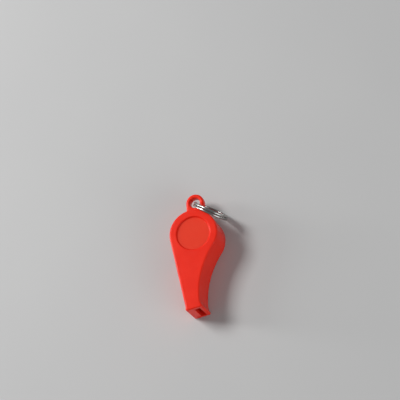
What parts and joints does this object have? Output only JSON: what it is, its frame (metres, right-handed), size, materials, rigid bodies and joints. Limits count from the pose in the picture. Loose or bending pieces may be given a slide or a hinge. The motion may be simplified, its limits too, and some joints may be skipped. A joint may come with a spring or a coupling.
{
  "type": "pea whistle",
  "caption": "Small moulded pea whistle: a round barrel with a loose pea, a tapering mouthpiece with a flared lip, a back lug and a swinging split ring.",
  "frame": {"origin": "on the barrel's axis, in the plane of the back cheek that the whistle lies on", "axes": "+Z along the barrel's axis, out of the front cheek; +Y from the mouth to the lug; +X towards the hollow underside"},
  "size_m": [0.027, 0.0538, 0.0168],
  "materials": {
    "red_plastic": "glossy moulded",
    "cork": "granular matt",
    "plated_steel": "nickel plated"
  },
  "bodies": {
    "whistle": {"body_shell": "red_plastic", "back_cover": "red_plastic"},
    "pea_ball": {"pea": "cork"},
    "key_ring": {"split_ring": "plated_steel"}
  },
  "joints": [
    {"name": "pea_circulation", "type": "hinge", "parent": "whistle", "child": "pea_ball", "pos_m": [0, 0, 0.0075], "axis": [0, 0, 1], "continuous": true},
    {"name": "ring_swing", "type": "hinge", "parent": "whistle", "child": "key_ring", "pos_m": [0.00283, 0.01605, 0.0075], "axis": [0, 0, 1], "range_deg": [-1, 240]}
  ]
}
